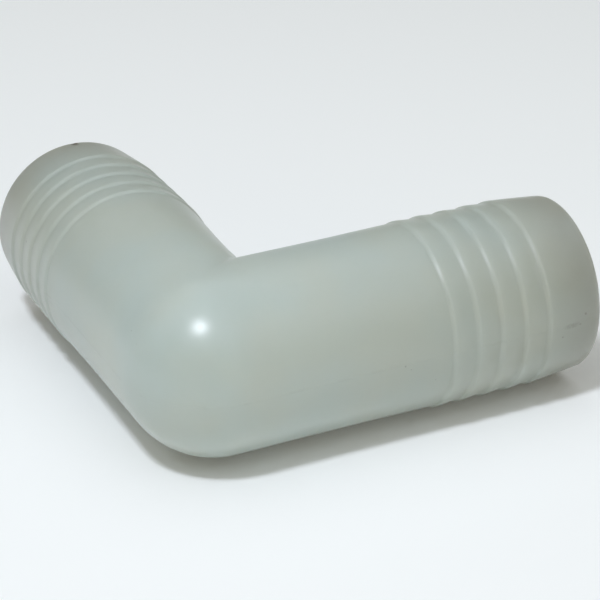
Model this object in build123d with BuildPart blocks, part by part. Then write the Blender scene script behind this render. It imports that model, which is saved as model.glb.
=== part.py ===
from build123d import *
import os

# A one-piece moulded nylon elbow that joins two hoses of the same size at a right angle.
# Both legs are alike: a plain barrel, then a barbed tail whose teeth stop the hose from sliding
# off. The bore turns the corner at a constant size. Lengths are in millimetres.

# Driving dimensions
hose_bore_diameter = 38.0  # inside diameter of the hose that is pushed over a tail
bore_diameter = 32.0
leg_length = 78.4  # from the point where the two axes cross to a mouth
tail_length = 35.0  # the barbed stretch at the end of a leg
barb_count = 5
barb_pitch = 5.4
barb_rise = 1.2  # length of the steep side, which faces the elbow
crest_land = 0.6  # short cylinder on top of a barb, where the hose grips
crest_height = 0.5  # of a barb's crest above the barrel
groove_height = 0.1  # of the bottoms of the notches between barbs, above the barrel
nose_relief = 0.7  # of the mouth's outer edge, below the barrel
crest_rounding = 0.25
groove_rounding = 0.5
mouth_rounding = 1.2  # outer edge of a mouth
lip_rounding = 0.4  # inner edge of a mouth

barrel_radius = hose_bore_diameter / 2
bore_radius = bore_diameter / 2
crest_radius = barrel_radius + crest_height
groove_radius = barrel_radius + groove_height
nose_radius = barrel_radius - nose_relief
tail_start = leg_length - tail_length

# The origin is at the middle of the elbow's footprint, on the surface that it lies on. Its lowest
# points are the crests, and the axes cross towards the -X, -Y corner of the footprint.
footprint_shift = (leg_length - crest_radius) / 2
crossing = (-footprint_shift, -footprint_shift, crest_radius)
leg_plane = Plane(origin=crossing, x_dir=(1, 0, 0), z_dir=(0, -1, 0))
leg_axis = Axis(crossing, (1, 0, 0))
turning_axis = Axis(crossing, (0, 0, 1))
mitre_plane = Plane(origin=crossing, z_dir=(1, -1, 0))


def barb_points(number):
    """Foot, crest start and crest end of one barb, as distance along the leg and radius."""
    foot = tail_start + number * barb_pitch
    foot_radius = barrel_radius if number == 0 else groove_radius
    crest = foot + barb_rise
    return [(foot, foot_radius), (crest, crest_radius), (crest + crest_land, crest_radius)]


def outside_points():
    """The outside of a leg, from where it meets the corner to the edge of its mouth."""
    points = [(0, barrel_radius)]
    for number in range(barb_count):
        points += barb_points(number)
    return points + [(leg_length, nose_radius)]


def at_radius(corners, radius):
    """The outline's corners that stand at one distance from the axis of the leg."""
    return [corner for corner in corners if abs(corner.Y - radius) < 1e-6]


with BuildPart() as elbow_body:
    # One leg is its wall's section turned about the leg's own axis.
    with BuildSketch(leg_plane) as wall_section:
        with BuildLine():
            Polyline(*outside_points(), (leg_length, bore_radius), (0, bore_radius), close=True)
        make_face()
        mouth_corners = wall_section.vertices().group_by(Axis.X)[-1]
        fillet(mouth_corners.sort_by(Axis.Y)[0], lip_rounding)
        fillet(at_radius(wall_section.vertices(), nose_radius), mouth_rounding)
        fillet(at_radius(wall_section.vertices(), crest_radius), crest_rounding)
        fillet(at_radius(wall_section.vertices(), groove_radius), groove_rounding)
    revolve(axis=leg_axis)
    # The mitre plane cuts the leg where its twin meets it, on the inside of the turn.
    split(bisect_by=mitre_plane, keep=Keep.TOP)
    mirror(about=mitre_plane)
    # The outside of the turn is a quarter of a hollow ball, tangent to both legs.
    with BuildSketch(leg_plane) as ball_section:
        with BuildLine():
            CenterArc((0, 0), barrel_radius, 90, 180)
            Line((0, -barrel_radius), (0, -bore_radius))
            CenterArc((0, 0), bore_radius, 270, -180)
            Line((0, bore_radius), (0, barrel_radius))
        make_face()
    revolve(axis=turning_axis, revolution_arc=90)
elbow_body.part.label = "elbow_body"

os.makedirs("parts", exist_ok=True)
export_step(elbow_body.part, "parts/elbow_body.step")
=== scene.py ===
import math
from types import SimpleNamespace

import bmesh
import bpy
import numpy as np
from mathutils import Matrix, Vector, noise


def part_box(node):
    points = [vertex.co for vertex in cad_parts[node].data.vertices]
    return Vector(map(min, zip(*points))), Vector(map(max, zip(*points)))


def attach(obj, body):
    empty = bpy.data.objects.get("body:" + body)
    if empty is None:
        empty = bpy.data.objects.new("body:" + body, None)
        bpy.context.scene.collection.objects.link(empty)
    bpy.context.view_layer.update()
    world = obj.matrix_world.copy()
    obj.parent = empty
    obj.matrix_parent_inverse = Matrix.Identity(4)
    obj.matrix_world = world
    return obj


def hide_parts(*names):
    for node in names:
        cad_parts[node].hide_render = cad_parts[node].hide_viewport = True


# A moulded nylon hose elbow on a plain pale floor. All lengths are in metres.
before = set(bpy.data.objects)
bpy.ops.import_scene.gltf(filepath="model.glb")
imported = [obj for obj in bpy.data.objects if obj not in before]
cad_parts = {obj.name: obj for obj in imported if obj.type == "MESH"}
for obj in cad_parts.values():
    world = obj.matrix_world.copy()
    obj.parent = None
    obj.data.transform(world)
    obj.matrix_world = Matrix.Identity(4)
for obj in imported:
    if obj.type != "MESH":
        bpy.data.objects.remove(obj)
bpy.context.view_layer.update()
MM = 0.001

# Sizes of the elbow, from its CAD node's box and the section of its wall
box_low, box_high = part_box("elbow_body")
CREST_RADIUS = (box_high.z - box_low.z) / 2  # of the tops of the barbs
CROSSING = box_low + Vector((CREST_RADIUS, CREST_RADIUS, CREST_RADIUS))  # of the legs' axes
LEG_LENGTH = box_high.x - CROSSING.x  # from the crossing to a mouth
BARREL_RADIUS = CREST_RADIUS - 0.5 * MM
GROOVE_RADIUS = BARREL_RADIUS + 0.16 * MM  # of the bottoms of the notches between barbs
NOSE_RADIUS = BARREL_RADIUS - 0.7 * MM  # at the mouth, before its edge is rounded
BORE_RADIUS = BARREL_RADIUS - 3.0 * MM
DRAFT_START = 24 * MM  # the barrel is round and straight up to here, and widens from here to the barbs
FIRST_RISE = LEG_LENGTH - 34.5 * MM  # the middle of the first barb's rise
BARB_COUNT = 5
BARB_PITCH = 5.4 * MM
RISE_SLOPE = 0.40  # of a barb's rise, at its steepest
NOSE_SHAPE = 1.1  # 1 is a straight cone from the last crest to the mouth, more is rounder
MOUTH_ROUNDING = 1.2 * MM
LIP_ROUNDING = 0.4 * MM
CREASE_ROUNDING = 0.8 * MM  # of the mitre on the inside of the turn
BORE_CREASE_ROUNDING = 0.3 * MM
CREASE_FADE = 2 * MM  # at the top and bottom of the turn the creases fade out over about this

# What moulding left on it
SINK_DEPTH = 1.25 * MM  # the barrel is drawn in towards the inside of the turn
SINK_END = 47 * MM  # it gets shallower along the leg and ends here
SINK_ANGLES = (30, 66)  # full up to the first, gone at the second, in degrees from the inner side
SEAM_HEIGHT = 0.025 * MM  # the mould's parting line, in the plane of the two axes
SEAM_WIDTH = 0.3 * MM
WAVE_DEPTH = 0.03 * MM
WAVE_LENGTH = 9 * MM
NICK_DEPTH = 0.2 * MM  # the nick is in the top of the rounded edge of the mouth on +Y
NICK_SIZE = 0.5 * MM
NICK_FROM_MOUTH = 1.2 * MM

# Colours of the nylon, all in linear light
COOL_MILK = (0.489, 0.553, 0.526, 1)
WARM_MILK = (0.512, 0.553, 0.503, 1)
DULL_MILK = (0.470, 0.518, 0.478, 1)
# Painted shade: the tail and mouth colours darken and warm the nylon away from the crossing, in place of
# the light that falls off towards the ends and the dark bore that shows through the thin walls near the
# mouths
TAIL_SHADE = (0.80, 0.77, 0.745, 1)
MOUTH_SHADE = (0.81, 0.775, 0.765, 1)
DIRT = (0.10, 0.085, 0.065, 1)
TAIL_SHADE_FROM = 0.5 * BARREL_RADIUS  # distances from the crossing at which the two painted shades start
MOUTH_SHADE_FROM = LEG_LENGTH - 16 * MM

# How the nylon varies. Clouds and patches are given by the size of their lumps.
EVEN = (0.3, 0.7)  # ranges of the noise, for lumps that cover half of the skin, softly
SOFT = (0.2, 0.8)  # half of the skin, more softly
BROKEN = (0.45, 0.65)  # under half of it
RARE = (0.62, 0.75)  # only the tops of the lumps
MILK_CLOUDS = 22 * MM
DULL_CLOUDS = 4 * MM
DULL_SHARE = 0.12
SPECK_SPACING = 7 * MM
SPECK_EDGES = (0.030, 0.018)  # outside and inside of a speck's soft edge, as shares of the spacing
SPECK_STRENGTH = 0.35
SEAM_DIRT_EDGES = (0.45 * MM, 0.1 * MM)
SEAM_DIRT_PATCHES = 3 * MM
SEAM_DIRT_STRENGTH = 0.05
OUTER_SIDE = (-0.8 * BARREL_RADIUS, -0.95 * BARREL_RADIUS)  # where that dirt starts and is full
MARK_PATCHES = 0.6 * MM
MARK_RANGE = (0.3, 0.6)
MARK_LEAST = 0.3  # of a mark's strength, in its palest patches
SPOT_CORE = 0.4  # of a mark's size, before it starts to fade
STREAK_WIDTH = 0.35 * MM
STREAK_SLOWNESS = 0.06  # of a streak's change along a leg, as a share of its change across
RUBBED_EDGES = (4 * MM, 0.5 * MM)  # from the parting line
RUBBED_LEAST = 0.15
RUBBED_DULLNESS = 0.12
SATIN_PATCHES = 5 * MM
SATIN = (0.285, 0.32)  # roughness
RIPPLE_LENGTH = 6 * MM
RIPPLE_HEIGHT = 0.01 * MM
GRAIN_LENGTH = 0.35 * MM
GRAIN_HEIGHT = 0.0002 * MM
SCRATCH_HEIGHT = 0.001 * MM
MILK_DEPTH = 7 * MM  # how far light wanders inside the nylon
NYLON_IOR = 1.53
# Small dark marks: leg, distance from the crossing and size in mm, angle in degrees from the inside
# of the turn up over the top, strength, and how the spot is squeezed along x, y and z
MARKS = (
    # The first is a dark spot over the nick in the +Y mouth's edge, wider than the nick
    ("y", 76.8, 88.8, 1.3, 1.0, (1.2, 0.7, 1)),
    ("x", 70.9, 181, 2.4, 0.22, (1, 1, 3)),
    ("x", 73.0, 181.5, 0.35, 0.45, (1, 1, 1.5)),
    ("x", 68.8, 187, 0.28, 0.5, (1, 1, 1)),
    ("x", 74.3, 175.5, 0.4, 0.4, (1, 1, 1)),
    ("x", 32.9, 181, 0.28, 0.5, (1, 1, 1)),
    ("x", 40.0, 196, 0.22, 0.3, (1, 1, 1)),
    ("y", 58.2, 161.5, 0.35, 0.4, (1, 1, 1)),
)

# The room and the camera
FLOOR_SIZE = 6
FLOOR_WHITE = 0.90
FLOOR_GLOW = 0.05
ROOM_COLOUR = (0.21, 0.205, 0.155, 1)
CAMERA_ANGLES = (-24.7, 26.2, -1.3)  # azimuth, elevation and roll, in degrees
CAMERA_DISTANCE = 0.450
CAMERA_LENS = 129.9
CAMERA_AIM = CROSSING + Vector((26.9 * MM, 16.6 * MM, 0))

# How finely the skin is divided
ROUND_STEPS = 120
SEAM_OFFSETS = (0.35, 0.8, 1.6)  # degrees to each side of the parting line with a row of their own
RISE_STEPS = 13
FALL_STEPS = 12
BARREL_STEPS = 28
BORE_STEPS = 40
TURN_STEPS = 12
ARC_STEPS = 7
LEAD_IN = (2 * MM, 1 * MM, 0.3 * MM)  # rings of their own before the first barb's notch
SAME_PLACE = 0.001 * MM  # points nearer than this to each other become one


def smooth(edge_low, edge_high, value):
    """0 below the low edge, 1 above the high edge, and an even S between them."""
    share = np.clip((value - edge_low) / (edge_high - edge_low), 0, 1)
    return share * share * (3 - 2 * share)


# ---- the elbow's shape ----

def barrel_radius(distance):
    """Radius of the barrel, which widens a little towards the foot of the first barb."""
    share = smooth(DRAFT_START, barb_places(0)[0], distance)
    return BARREL_RADIUS + (GROOVE_RADIUS - BARREL_RADIUS) * share


def barb_places(number):
    """Where a barb's rise starts and ends, and where the barb ends."""
    # At its middle an even S is 1.5 times as steep as the straight line between its ends.
    half_rise = 1.5 * (CREST_RADIUS - GROOVE_RADIUS) / RISE_SLOPE / 2
    middle = FIRST_RISE + number * BARB_PITCH
    finish = LEG_LENGTH if number == BARB_COUNT - 1 else middle + BARB_PITCH - half_rise
    return middle - half_rise, middle + half_rise, finish


def tail_radius(distance):
    """Radius of the tail at a distance from the crossing.

    Each barb swells out of a notch, rounds over its crest and falls slowly to the next notch; the
    last one falls all the way to the nose.
    """
    radius = barrel_radius(distance)
    for number in range(BARB_COUNT):
        notch, crest, finish = barb_places(number)
        barb = GROOVE_RADIUS + (CREST_RADIUS - GROOVE_RADIUS) * smooth(notch, crest, distance)
        if number < BARB_COUNT - 1:
            barb -= (CREST_RADIUS - GROOVE_RADIUS) * smooth(crest, finish, distance)
        else:
            fallen = np.clip((distance - crest) / (finish - crest), 0, 1)
            barb -= (CREST_RADIUS - NOSE_RADIUS) * fallen ** NOSE_SHAPE
        radius = np.where(distance >= notch, barb, radius)
    return radius


def tail_places():
    """Distances at which the tail's skin has a ring, closest together on the rises."""
    end = LEG_LENGTH - MOUTH_ROUNDING
    places = [barb_places(0)[0] - step for step in LEAD_IN]
    for number in range(BARB_COUNT):
        notch, crest, finish = barb_places(number)
        steps = 2 * FALL_STEPS if number == BARB_COUNT - 1 else FALL_STEPS
        places += list(np.linspace(notch, crest, RISE_STEPS))
        places += list(np.linspace(crest, min(finish, end), steps)[1:-1])
    return np.array(places + [end])


def arc(centre_s, centre_r, radius, from_degrees, to_degrees):
    """Points of a round edge in the wall's section, as (distance, radius) pairs."""
    turn = np.radians(np.linspace(from_degrees, to_degrees, ARC_STEPS))
    return [(centre_s + radius * math.cos(t), centre_r + radius * math.sin(t)) for t in turn]


def tail_section():
    """The wall's section along the tail, round the mouth and its lip, as distances and radii."""
    places = tail_places()
    outside = list(zip(places, tail_radius(places)))
    edge = arc(places[-1], outside[-1][1] - MOUTH_ROUNDING, MOUTH_ROUNDING, 90, 0)
    lip = arc(LEG_LENGTH - LIP_ROUNDING, BORE_RADIUS + LIP_ROUNDING, LIP_ROUNDING, 0, -90)
    return np.array(outside + edge[1:] + lip).T


def moulded(distance, radius, angle):
    """The outer radius with the sink towards the inside of the turn and the ridge of the parting line."""
    from_inner = abs(math.degrees(math.remainder(angle, 2 * math.pi)))
    share = 1 - smooth(*SINK_ANGLES, from_inner)
    sink = SINK_DEPTH * share * np.clip((SINK_END - distance) / (SINK_END - BARREL_RADIUS), 0, 1)
    from_line = radius.max() * math.sin(angle)
    seam = SEAM_HEIGHT * math.exp(-(2 * from_line / SEAM_WIDTH) ** 2)
    return np.minimum(radius - sink + seam, CREST_RADIUS)


def turned_corner(radius, angle, rounding):
    """A row's points over its half of the turn, from the mitre to where the leg's straight wall starts.

    On the inside of the turn the walls meet in a rounded crease, and on its outside they follow a
    ball around the crossing.
    """
    reach = radius * abs(math.cos(angle))
    turn = np.linspace(math.pi / 4, 0, TURN_STEPS)
    height = np.full(TURN_STEPS, radius * math.sin(angle))
    if math.cos(angle) > 0:
        crease = rounding * (1 - math.exp(-reach / CREASE_FADE))
        across = reach + crease - crease * np.sin(turn), reach + crease - crease * np.cos(turn)
    else:
        across = -reach * np.sin(turn), -reach * np.cos(turn)
    return np.stack([*across, height], 1)


def wall(distance, radius, angle):
    """A row's points along a straight wall."""
    return np.stack([distance, radius * math.cos(angle), radius * math.sin(angle)], 1)


def leg_grid():
    """Points of the leg along +X about the crossing.

    A row runs at one angle from the mitre along the outside, round the mouth and back along the
    bore. Angles are counted from the inside of the turn.
    """
    angles = {360 * step / ROUND_STEPS for step in range(ROUND_STEPS)}
    for offset in SEAM_OFFSETS:
        angles |= {offset, 180 - offset, 180 + offset, 360 - offset}
    tail_distance, section_radius = tail_section()
    outer_count = len(tail_places())
    rows = []
    for angle in np.radians(sorted(angles)):
        tail = section_radius.copy()
        tail[:outer_count] = moulded(tail_distance[:outer_count], tail[:outer_count], angle)
        # The turn ends level with the place where the row's wall meets the mitre, or at the crossing.
        plain = np.full(1, BARREL_RADIUS)
        turn_end = plain * max(math.cos(angle), 0)
        turn_radius = float(moulded(turn_end, plain, angle)[0])
        outer_turn = turned_corner(turn_radius, angle, CREASE_ROUNDING)
        along = np.linspace(outer_turn[-1, 0], tail_distance[0], BARREL_STEPS + 1)[1:-1]
        barrel = moulded(along, barrel_radius(along), angle)
        bore_turn = turned_corner(BORE_RADIUS, angle, BORE_CREASE_ROUNDING)
        inside = np.linspace(tail_distance[-1], bore_turn[-1, 0], BORE_STEPS)[1:-1]
        rows.append(np.concatenate([
            outer_turn,
            wall(along, barrel, angle),
            wall(tail_distance, tail, angle),
            wall(inside, np.full(len(inside), BORE_RADIUS), angle),
            bore_turn[::-1],
        ]))
    return np.array(rows)


def on_leg(axis, distance, degrees, radius):
    """A point of a leg, at an angle counted from the inside of the turn up over the top."""
    side = radius * math.cos(math.radians(degrees))
    rise = radius * math.sin(math.radians(degrees))
    across = (distance, side) if axis == "x" else (side, distance)
    return CROSSING + Vector((*across, rise))


def build_elbow():
    """The whole elbow as one closed skin: a leg, its mirror image, and shared points on the mitre."""
    first = leg_grid()
    second = first[:, :, [1, 0, 2]]
    rows, columns, _ = first.shape
    points = np.concatenate([first.reshape(-1, 3), second[:, 1:-1].reshape(-1, 3)])

    def index_first(row, column):
        return (row % rows) * columns + column

    def index_second(row, column):
        if column in (0, columns - 1):
            return index_first(row, column)
        return rows * columns + (row % rows) * (columns - 2) + column - 1

    faces = []
    for row in range(rows):
        for column in range(columns - 1):
            corners = ((row, column), (row + 1, column), (row + 1, column + 1), (row, column + 1))
            faces.append([index_first(*corner) for corner in corners])
            faces.append([index_second(*corner) for corner in reversed(corners)])
    mesh = bpy.data.meshes.new("elbow_skin")
    mesh.from_pydata((points + np.array(CROSSING)).tolist(), [], faces)
    # Rows straight above and below the crossing have all their turn's points in one place.
    shell = bmesh.new()
    shell.from_mesh(mesh)
    bmesh.ops.remove_doubles(shell, verts=shell.verts, dist=SAME_PLACE)
    shell.to_mesh(mesh)
    shell.free()
    mesh.shade_smooth()
    weather(mesh)
    elbow = bpy.data.objects.new("elbow_skin", mesh)
    bpy.context.scene.collection.objects.link(elbow)
    return elbow


def weather(mesh):
    """Press the skin in a little: the uneven surface of the moulding, and the nick in a mouth's edge."""
    nick = on_leg("y", LEG_LENGTH - NICK_FROM_MOUTH, 90, NOSE_RADIUS)
    normals = [vertex.normal.copy() for vertex in mesh.vertices]
    for vertex, normal in zip(mesh.vertices, normals):
        wave = 0.5 + 0.5 * noise.noise(vertex.co / WAVE_LENGTH)
        dent = math.exp(-(((vertex.co - nick).length / NICK_SIZE) ** 2))
        vertex.co -= normal * (WAVE_DEPTH * wave + NICK_DEPTH * dent)


# ---- the nylon ----

def node(tree, kind, inputs, **settings):
    """A new shader node, its sockets given values or joined to the sockets of other nodes."""
    made = tree.nodes.new(kind)
    for name, value in settings.items():
        setattr(made, name, value)
    for name, value in inputs.items():
        if isinstance(value, bpy.types.NodeSocket):
            tree.links.new(value, made.inputs[name])
        else:
            made.inputs[name].default_value = value
    return made


def math_node(tree, operation, first, second=0.0):
    """The result of one operation on two numbers."""
    return node(tree, "ShaderNodeMath", {0: first, 1: second}, operation=operation).outputs[0]


def vector_node(tree, operation, first, second=(0, 0, 0)):
    """A node for one operation on two vectors."""
    return node(tree, "ShaderNodeVectorMath", {0: first, 1: second}, operation=operation)


def ramp(tree, value, low, high, out_low=0.0, out_high=1.0):
    """The value eased from one range to another, and held at its ends."""
    inputs = {"Value": value, 1: low, 2: high, 3: out_low, 4: out_high}
    return node(tree, "ShaderNodeMapRange", inputs, interpolation_type="SMOOTHSTEP").outputs[0]


def cloud(tree, place, size, detail=3.0):
    """Soft noise with lumps of about a size, from 0 to 1."""
    inputs = {"Vector": place, "Scale": 1 / size, "Detail": detail}
    return node(tree, "ShaderNodeTexNoise", inputs).outputs["Fac"]


def tinted(tree, share, colour, tint, blend="MIX"):
    """The colour with a share of the tint mixed or multiplied into it."""
    inputs = {"Factor": share, 6: colour, 7: tint}
    return node(tree, "ShaderNodeMix", inputs, data_type="RGBA", blend_type=blend).outputs[2]


def bumped(tree, height, depth, below=None):
    """The surface's direction with a fine relief on it, over another relief if there is one."""
    inputs = {"Height": height, "Distance": depth}
    if below is not None:
        inputs["Normal"] = below
    return node(tree, "ShaderNodeBump", inputs).outputs[0]


def spot(tree, place, centre, size, squeeze):
    """1 within a small round or squeezed spot on the surface and 0 outside it, with a soft edge."""
    away = vector_node(tree, "SUBTRACT", place, centre).outputs[0]
    squeezed = vector_node(tree, "MULTIPLY", away, squeeze).outputs[0]
    length = vector_node(tree, "LENGTH", squeezed).outputs["Value"]
    return ramp(tree, length, size, SPOT_CORE * size)


def where_on_elbow(tree):
    """Sockets that say where a point of the skin is, measured from the crossing of the axes."""
    coordinates = tree.nodes.new("ShaderNodeTexCoord").outputs["Object"]
    place = vector_node(tree, "SUBTRACT", coordinates, CROSSING).outputs[0]
    axes = node(tree, "ShaderNodeSeparateXYZ", {"Vector": place}).outputs
    return SimpleNamespace(
        place=place,
        along=math_node(tree, "MAXIMUM", axes["X"], axes["Y"]),
        outside=math_node(tree, "MINIMUM", axes["X"], axes["Y"]),
        height=axes["Z"],
        from_seam=math_node(tree, "ABSOLUTE", axes["Z"]),
    )


def milk_colour_and_shade(tree, at):
    """Clouds in the melt, cooler and warmer, duller in patches, and painted shade that makes it greyer
    towards the mouths.
    """
    warm = ramp(tree, cloud(tree, at.place, MILK_CLOUDS, 2.0), *EVEN)
    milk = tinted(tree, warm, COOL_MILK, WARM_MILK)
    dull = ramp(tree, cloud(tree, at.place, DULL_CLOUDS), *SOFT, 0, DULL_SHARE)
    milk = tinted(tree, dull, milk, DULL_MILK)
    # Painted shade, growing from near the crossing to the mouths
    tail = {"Value": at.along, 1: TAIL_SHADE_FROM, 2: LEG_LENGTH}
    milk = tinted(tree, node(tree, "ShaderNodeMapRange", tail).outputs[0], milk, TAIL_SHADE, "MULTIPLY")
    # More painted shade over the last 16 mm before the mouths
    mouth = ramp(tree, at.along, MOUTH_SHADE_FROM, LEG_LENGTH)
    return tinted(tree, mouth, milk, MOUTH_SHADE, "MULTIPLY")


def dirtied(tree, at, colour):
    """The colour with specks in the melt, dirt along the outer parting line, and the small marks."""
    cells = node(tree, "ShaderNodeTexVoronoi", {"Vector": at.place, "Scale": 1 / SPECK_SPACING})
    speck = ramp(tree, cells.outputs["Distance"], *SPECK_EDGES)
    colour = tinted(tree, math_node(tree, "MULTIPLY", speck, SPECK_STRENGTH), colour, DIRT)

    outer_side = ramp(tree, at.outside, *OUTER_SIDE)
    near_seam = math_node(tree, "MULTIPLY", ramp(tree, at.from_seam, *SEAM_DIRT_EDGES), outer_side)
    broken = ramp(tree, cloud(tree, at.place, SEAM_DIRT_PATCHES), *BROKEN, 0.0, SEAM_DIRT_STRENGTH)
    colour = tinted(tree, math_node(tree, "MULTIPLY", near_seam, broken), colour, DIRT)

    patchy = ramp(tree, cloud(tree, at.place, MARK_PATCHES), *MARK_RANGE, MARK_LEAST, 1.0)
    for axis, distance, degrees, size, strength, squeeze in MARKS:
        radius = float(tail_radius(np.array([distance * MM]))[0])
        centre = on_leg(axis, distance * MM, degrees, radius) - CROSSING
        mark = spot(tree, at.place, centre, size * MM, squeeze)
        share = math_node(tree, "MULTIPLY", math_node(tree, "MULTIPLY", mark, patchy), strength)
        colour = tinted(tree, share, colour, DIRT)
    return colour


def rubbed_streaks(tree, at):
    """Fine streaks along the legs, 1 at their middle, strongest on the parting line."""
    slow = math_node(tree, "MULTIPLY", at.along, STREAK_SLOWNESS)
    place = node(tree, "ShaderNodeCombineXYZ", {"X": slow, "Y": at.height, "Z": at.outside}).outputs[0]
    streaks = ramp(tree, cloud(tree, place, STREAK_WIDTH, 2.0), *RARE)
    return math_node(tree, "MULTIPLY", streaks, ramp(tree, at.from_seam, *RUBBED_EDGES, RUBBED_LEAST, 1.0))


def satin_gloss(tree, at, rubbed):
    """An uneven satin, duller where hoses and hands have rubbed it."""
    satin = ramp(tree, cloud(tree, at.place, SATIN_PATCHES), *EVEN, *SATIN)
    return math_node(tree, "ADD", satin, math_node(tree, "MULTIPLY", rubbed, RUBBED_DULLNESS))


def fine_relief(tree, at, rubbed):
    """Relief too fine for the mesh: flow ripples, a fine grain and the rubbed streaks."""
    ripple = bumped(tree, cloud(tree, at.place, RIPPLE_LENGTH, 0.0), RIPPLE_HEIGHT)
    grain = bumped(tree, cloud(tree, at.place, GRAIN_LENGTH, 2.0), GRAIN_HEIGHT, ripple)
    return bumped(tree, rubbed, SCRATCH_HEIGHT, grain)


def nylon():
    """Natural nylon: milky and translucent, with painted shade that makes it greyer and yellower in its
    thin tails, and with small marks.
    """
    material = bpy.data.materials.new("natural_nylon")
    material.use_nodes = True
    tree = material.node_tree
    shader = tree.nodes["Principled BSDF"]
    at = where_on_elbow(tree)
    rubbed = rubbed_streaks(tree, at)
    tree.links.new(dirtied(tree, at, milk_colour_and_shade(tree, at)), shader.inputs["Base Color"])
    tree.links.new(satin_gloss(tree, at, rubbed), shader.inputs["Roughness"])
    tree.links.new(fine_relief(tree, at, rubbed), shader.inputs["Normal"])
    shader.inputs["Subsurface Weight"].default_value = 1.0
    shader.inputs["Subsurface Radius"].default_value = (1.0, 1.0, 1.0)
    shader.inputs["Subsurface Scale"].default_value = MILK_DEPTH
    shader.inputs["IOR"].default_value = NYLON_IOR
    return material


elbow = build_elbow()
elbow.data.materials.append(nylon())
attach(elbow, "root")
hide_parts("elbow_body")


# ---- floor, lights and camera ----

def build_floor():
    """A matt white sheet under the elbow."""
    bpy.ops.mesh.primitive_plane_add(size=FLOOR_SIZE, location=(0, 0, box_low.z))
    floor = bpy.context.object
    floor.name = "floor"
    paper = bpy.data.materials.new("white_paper")
    paper.use_nodes = True
    shader = paper.node_tree.nodes["Principled BSDF"]
    shader.inputs["Base Color"].default_value = (FLOOR_WHITE, FLOOR_WHITE, FLOOR_WHITE, 1)
    shader.inputs["Roughness"].default_value = 1.0
    shader.inputs["Emission Color"].default_value = (1, 1, 1, 1)
    shader.inputs["Emission Strength"].default_value = FLOOR_GLOW
    floor.data.materials.append(paper)


def add_light(name, direction, distance, size, power, colour):
    """A round soft light towards a direction from the crossing."""
    data = bpy.data.lights.new(name, "AREA")
    data.shape = "DISK"
    data.size = size
    data.energy = power
    data.color = colour
    light = bpy.data.objects.new(name, data)
    toward = Vector(direction).normalized()
    light.location = CROSSING + toward * distance
    light.rotation_mode = "QUATERNION"
    light.rotation_quaternion = toward.to_track_quat("Z", "Y")
    bpy.context.scene.collection.objects.link(light)


def build_studio():
    """A small lamp high on the left, a large soft overhead light, two weak fills and a warm dim room."""
    build_floor()
    add_light(
        "lamp", direction=(-0.322, -0.246, 0.898), distance=1.0,
        size=0.13, power=5.4, colour=(0.85, 0.91, 1.0))
    add_light(
        "overhead", direction=(0, 0, 1), distance=1.2,
        size=2.4, power=8.9, colour=(0.83, 0.9, 1.0))
    add_light(
        "front_fill", direction=(0.287, -0.710, 0.643), distance=1.2,
        size=0.7, power=0.6, colour=(0.9, 0.92, 1.0))
    add_light(
        "low_fill", direction=(0, -0.978, 0.208), distance=1.2,
        size=0.7, power=1.05, colour=(1.0, 0.87, 0.57))
    world = bpy.data.worlds.new("studio")
    bpy.context.scene.world = world
    world.use_nodes = True
    world.node_tree.nodes["Background"].inputs["Color"].default_value = ROOM_COLOUR
    world.node_tree.nodes["Background"].inputs["Strength"].default_value = 1.0


def add_camera():
    """The camera, aimed a little past the crossing towards both mouths and turned by its roll."""
    azimuth, elevation, roll = (math.radians(degrees) for degrees in CAMERA_ANGLES)
    level = math.cos(elevation)
    back = Vector((math.sin(azimuth) * level, -math.cos(azimuth) * level, math.sin(elevation)))
    right = Vector((math.cos(azimuth), math.sin(azimuth), 0))
    up = back.cross(right)
    camera_right = right * math.cos(roll) + up * math.sin(roll)
    camera_up = up * math.cos(roll) - right * math.sin(roll)
    turn = Matrix((camera_right, camera_up, back)).transposed()
    data = bpy.data.cameras.new("camera")
    data.lens = CAMERA_LENS
    camera = bpy.data.objects.new("camera", data)
    camera.matrix_world = Matrix.Translation(CAMERA_AIM + back * CAMERA_DISTANCE) @ turn.to_4x4()
    bpy.context.scene.collection.objects.link(camera)
    bpy.context.scene.camera = camera


build_studio()
add_camera()
bpy.context.scene.view_settings.view_transform = "Standard"
